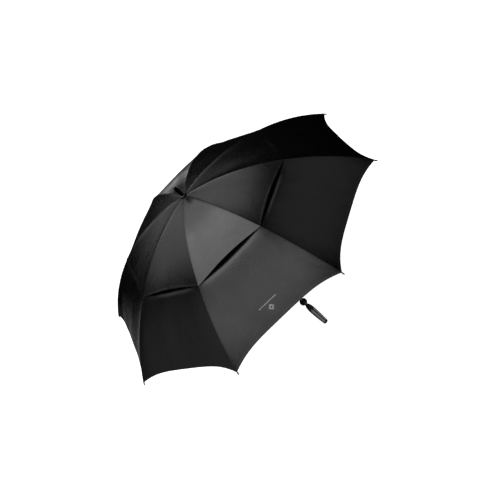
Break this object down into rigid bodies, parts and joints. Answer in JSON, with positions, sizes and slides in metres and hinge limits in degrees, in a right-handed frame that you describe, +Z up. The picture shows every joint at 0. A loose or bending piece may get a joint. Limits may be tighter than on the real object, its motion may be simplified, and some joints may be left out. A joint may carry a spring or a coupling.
{
  "type": "golf umbrella",
  "caption": "Open stick umbrella with a vented double canopy, glass-fibre ribs, a folding linkage, a sprung push button and a straight two-tone grip.",
  "frame": {"origin": "centre of the handle's flat end face", "axes": "+Z up the shaft towards the ferrule, +X along rib 1"},
  "size_m": [1.3582, 1.3582, 0.987],
  "materials": {
    "canopy_cloth": "satin woven pongee",
    "rib_glass_fibre": "satin pultruded glass fibre",
    "black_plastic": "satin moulded",
    "shaft_enamel": "gloss black enamel",
    "chrome": "polished",
    "spring_steel": "drawn wire",
    "grip_rubber": "matt rubber",
    "grip_inlay": "matt ribbed rubber"
  },
  "bodies": {
    "root": {"shaft": "shaft_enamel", "ferrule": "black_plastic", "ferrule_ring": "chrome", "top_notch": "black_plastic", "main_spring": "spring_steel", "button_housing": "black_plastic", "handle_core": "grip_inlay", "handle_shell": "grip_rubber", "end_cap": "black_plastic"},
    "runner": {"runner": "black_plastic"},
    "button": {"push_button": "black_plastic", "button_spring": "spring_steel"},
    "inner_rib_1": {"inner_rib_1": "rib_glass_fibre", "upper_canopy_1": "canopy_cloth"},
    "outer_rib_1": {"outer_rib_1": "rib_glass_fibre", "rib_tip_1": "black_plastic", "lower_canopy_1": "canopy_cloth"},
    "stretcher_1": {"stretcher_1": "rib_glass_fibre"},
    "inner_rib_2": {"inner_rib_2": "rib_glass_fibre", "upper_canopy_2": "canopy_cloth"},
    "outer_rib_2": {"outer_rib_2": "rib_glass_fibre", "rib_tip_2": "black_plastic", "lower_canopy_2": "canopy_cloth"},
    "stretcher_2": {"stretcher_2": "rib_glass_fibre"},
    "inner_rib_3": {"inner_rib_3": "rib_glass_fibre", "upper_canopy_3": "canopy_cloth"},
    "outer_rib_3": {"outer_rib_3": "rib_glass_fibre", "rib_tip_3": "black_plastic", "lower_canopy_3": "canopy_cloth"},
    "stretcher_3": {"stretcher_3": "rib_glass_fibre"},
    "inner_rib_4": {"inner_rib_4": "rib_glass_fibre", "upper_canopy_4": "canopy_cloth"},
    "outer_rib_4": {"outer_rib_4": "rib_glass_fibre", "rib_tip_4": "black_plastic", "lower_canopy_4": "canopy_cloth"},
    "stretcher_4": {"stretcher_4": "rib_glass_fibre"},
    "inner_rib_5": {"inner_rib_5": "rib_glass_fibre", "upper_canopy_5": "canopy_cloth"},
    "outer_rib_5": {"outer_rib_5": "rib_glass_fibre", "rib_tip_5": "black_plastic", "lower_canopy_5": "canopy_cloth"},
    "stretcher_5": {"stretcher_5": "rib_glass_fibre"},
    "inner_rib_6": {"inner_rib_6": "rib_glass_fibre", "upper_canopy_6": "canopy_cloth"},
    "outer_rib_6": {"outer_rib_6": "rib_glass_fibre", "rib_tip_6": "black_plastic", "lower_canopy_6": "canopy_cloth"},
    "stretcher_6": {"stretcher_6": "rib_glass_fibre"},
    "inner_rib_7": {"inner_rib_7": "rib_glass_fibre", "upper_canopy_7": "canopy_cloth"},
    "outer_rib_7": {"outer_rib_7": "rib_glass_fibre", "rib_tip_7": "black_plastic", "lower_canopy_7": "canopy_cloth"},
    "stretcher_7": {"stretcher_7": "rib_glass_fibre"},
    "inner_rib_8": {"inner_rib_8": "rib_glass_fibre", "upper_canopy_8": "canopy_cloth"},
    "outer_rib_8": {"outer_rib_8": "rib_glass_fibre", "rib_tip_8": "black_plastic", "lower_canopy_8": "canopy_cloth"},
    "stretcher_8": {"stretcher_8": "rib_glass_fibre"}
  },
  "joints": [
    {"name": "canopy_fold", "type": "hinge", "parent": "root", "child": "inner_rib_1", "pos_m": [0.011, 0, 0.929], "axis": [0, 1, 0], "range_deg": [0, 72.98], "stiffness_Nm_per_rad": 1.5, "springref_deg": -68.75, "deforming": ["upper_canopy_1", "main_spring"]},
    {"name": "rib_flex_1", "type": "hinge", "parent": "inner_rib_1", "child": "outer_rib_1", "pos_m": [0.37288, 0, 0.84279], "axis": [0, 1, 0], "range_deg": [-25.3, 0], "deforming": ["lower_canopy_1"]},
    {"name": "stretcher_fold_1", "type": "hinge", "parent": "inner_rib_1", "child": "stretcher_1", "pos_m": [0.36221, 0, 0.84129], "axis": [0, 1, 0], "range_deg": [-146.46, 0]},
    {"name": "rib_fold_2", "type": "hinge", "parent": "root", "child": "inner_rib_2", "pos_m": [0.00778, 0.00778, 0.929], "axis": [-0.7071, 0.7071, 0], "range_deg": [0, 73.18], "deforming": ["upper_canopy_2"]},
    {"name": "rib_flex_2", "type": "hinge", "parent": "inner_rib_2", "child": "outer_rib_2", "pos_m": [0.26367, 0.26367, 0.84279], "axis": [-0.7071, 0.7071, 0], "range_deg": [-25.3, 0], "deforming": ["lower_canopy_2"]},
    {"name": "stretcher_fold_2", "type": "hinge", "parent": "inner_rib_2", "child": "stretcher_2", "pos_m": [0.25612, 0.25612, 0.84129], "axis": [-0.7071, 0.7071, 0], "range_deg": [-146.46, 0]},
    {"name": "rib_fold_3", "type": "hinge", "parent": "root", "child": "inner_rib_3", "pos_m": [0, 0.011, 0.929], "axis": [-1, 0, 0], "range_deg": [0, 73.18], "deforming": ["upper_canopy_3"]},
    {"name": "rib_flex_3", "type": "hinge", "parent": "inner_rib_3", "child": "outer_rib_3", "pos_m": [0, 0.37288, 0.84279], "axis": [-1, 0, 0], "range_deg": [-25.3, 0], "deforming": ["lower_canopy_3"]},
    {"name": "stretcher_fold_3", "type": "hinge", "parent": "inner_rib_3", "child": "stretcher_3", "pos_m": [0, 0.36221, 0.84129], "axis": [-1, 0, 0], "range_deg": [-146.46, 0]},
    {"name": "rib_fold_4", "type": "hinge", "parent": "root", "child": "inner_rib_4", "pos_m": [-0.00778, 0.00778, 0.929], "axis": [-0.7071, -0.7071, 0], "range_deg": [0, 73.18], "deforming": ["upper_canopy_4"]},
    {"name": "rib_flex_4", "type": "hinge", "parent": "inner_rib_4", "child": "outer_rib_4", "pos_m": [-0.26367, 0.26367, 0.84279], "axis": [-0.7071, -0.7071, 0], "range_deg": [-25.3, 0], "deforming": ["lower_canopy_4"]},
    {"name": "stretcher_fold_4", "type": "hinge", "parent": "inner_rib_4", "child": "stretcher_4", "pos_m": [-0.25612, 0.25612, 0.84129], "axis": [-0.7071, -0.7071, 0], "range_deg": [-146.46, 0]},
    {"name": "rib_fold_5", "type": "hinge", "parent": "root", "child": "inner_rib_5", "pos_m": [-0.011, 0, 0.929], "axis": [0, -1, 0], "range_deg": [0, 73.18], "deforming": ["upper_canopy_5"]},
    {"name": "rib_flex_5", "type": "hinge", "parent": "inner_rib_5", "child": "outer_rib_5", "pos_m": [-0.37288, 0, 0.84279], "axis": [0, -1, 0], "range_deg": [-25.3, 0], "deforming": ["lower_canopy_5"]},
    {"name": "stretcher_fold_5", "type": "hinge", "parent": "inner_rib_5", "child": "stretcher_5", "pos_m": [-0.36221, 0, 0.84129], "axis": [0, -1, 0], "range_deg": [-146.46, 0]},
    {"name": "rib_fold_6", "type": "hinge", "parent": "root", "child": "inner_rib_6", "pos_m": [-0.00778, -0.00778, 0.929], "axis": [0.7071, -0.7071, 0], "range_deg": [0, 73.18], "deforming": ["upper_canopy_6"]},
    {"name": "rib_flex_6", "type": "hinge", "parent": "inner_rib_6", "child": "outer_rib_6", "pos_m": [-0.26367, -0.26367, 0.84279], "axis": [0.7071, -0.7071, 0], "range_deg": [-25.3, 0], "deforming": ["lower_canopy_6"]},
    {"name": "stretcher_fold_6", "type": "hinge", "parent": "inner_rib_6", "child": "stretcher_6", "pos_m": [-0.25612, -0.25612, 0.84129], "axis": [0.7071, -0.7071, 0], "range_deg": [-146.46, 0]},
    {"name": "rib_fold_7", "type": "hinge", "parent": "root", "child": "inner_rib_7", "pos_m": [0, -0.011, 0.929], "axis": [1, 0, 0], "range_deg": [0, 73.18], "deforming": ["upper_canopy_7"]},
    {"name": "rib_flex_7", "type": "hinge", "parent": "inner_rib_7", "child": "outer_rib_7", "pos_m": [0, -0.37288, 0.84279], "axis": [1, 0, 0], "range_deg": [-25.3, 0], "deforming": ["lower_canopy_7"]},
    {"name": "stretcher_fold_7", "type": "hinge", "parent": "inner_rib_7", "child": "stretcher_7", "pos_m": [0, -0.36221, 0.84129], "axis": [1, 0, 0], "range_deg": [-146.46, 0]},
    {"name": "rib_fold_8", "type": "hinge", "parent": "root", "child": "inner_rib_8", "pos_m": [0.00778, -0.00778, 0.929], "axis": [0.7071, 0.7071, 0], "range_deg": [0, 73.18], "deforming": ["upper_canopy_8"]},
    {"name": "rib_flex_8", "type": "hinge", "parent": "inner_rib_8", "child": "outer_rib_8", "pos_m": [0.26367, -0.26367, 0.84279], "axis": [0.7071, 0.7071, 0], "range_deg": [-25.3, 0], "deforming": ["lower_canopy_8"]},
    {"name": "stretcher_fold_8", "type": "hinge", "parent": "inner_rib_8", "child": "stretcher_8", "pos_m": [0.25612, -0.25612, 0.84129], "axis": [0.7071, 0.7071, 0], "range_deg": [-146.46, 0]},
    {"name": "runner_pivot", "type": "hinge", "parent": "stretcher_1", "child": "runner", "pos_m": [0.011, 0, 0.75358], "axis": [0, 1, 0], "range_deg": [0, 73.18]},
    {"name": "button_press", "type": "slide", "parent": "root", "child": "button", "axis": [-0.3827, -0.9239, 0], "range_m": [0, 0.0026], "stiffness_N_per_m": 200, "springref_m": -0.002, "deforming": ["button_spring"]}
  ],
  "couplings": [
    {"joint": "rib_flex_1", "follows": "canopy_fold", "ratio": -0.3426},
    {"joint": "stretcher_fold_1", "follows": "canopy_fold", "ratio": -2},
    {"joint": "rib_fold_2", "follows": "canopy_fold", "ratio": 1},
    {"joint": "rib_flex_2", "follows": "canopy_fold", "ratio": -0.3426},
    {"joint": "stretcher_fold_2", "follows": "canopy_fold", "ratio": -2},
    {"joint": "rib_fold_3", "follows": "canopy_fold", "ratio": 1},
    {"joint": "rib_flex_3", "follows": "canopy_fold", "ratio": -0.3426},
    {"joint": "stretcher_fold_3", "follows": "canopy_fold", "ratio": -2},
    {"joint": "rib_fold_4", "follows": "canopy_fold", "ratio": 1},
    {"joint": "rib_flex_4", "follows": "canopy_fold", "ratio": -0.3426},
    {"joint": "stretcher_fold_4", "follows": "canopy_fold", "ratio": -2},
    {"joint": "rib_fold_5", "follows": "canopy_fold", "ratio": 1},
    {"joint": "rib_flex_5", "follows": "canopy_fold", "ratio": -0.3426},
    {"joint": "stretcher_fold_5", "follows": "canopy_fold", "ratio": -2},
    {"joint": "rib_fold_6", "follows": "canopy_fold", "ratio": 1},
    {"joint": "rib_flex_6", "follows": "canopy_fold", "ratio": -0.3426},
    {"joint": "stretcher_fold_6", "follows": "canopy_fold", "ratio": -2},
    {"joint": "rib_fold_7", "follows": "canopy_fold", "ratio": 1},
    {"joint": "rib_flex_7", "follows": "canopy_fold", "ratio": -0.3426},
    {"joint": "stretcher_fold_7", "follows": "canopy_fold", "ratio": -2},
    {"joint": "rib_fold_8", "follows": "canopy_fold", "ratio": 1},
    {"joint": "rib_flex_8", "follows": "canopy_fold", "ratio": -0.3426},
    {"joint": "stretcher_fold_8", "follows": "canopy_fold", "ratio": -2},
    {"joint": "runner_pivot", "follows": "canopy_fold", "ratio": 1}
  ]
}
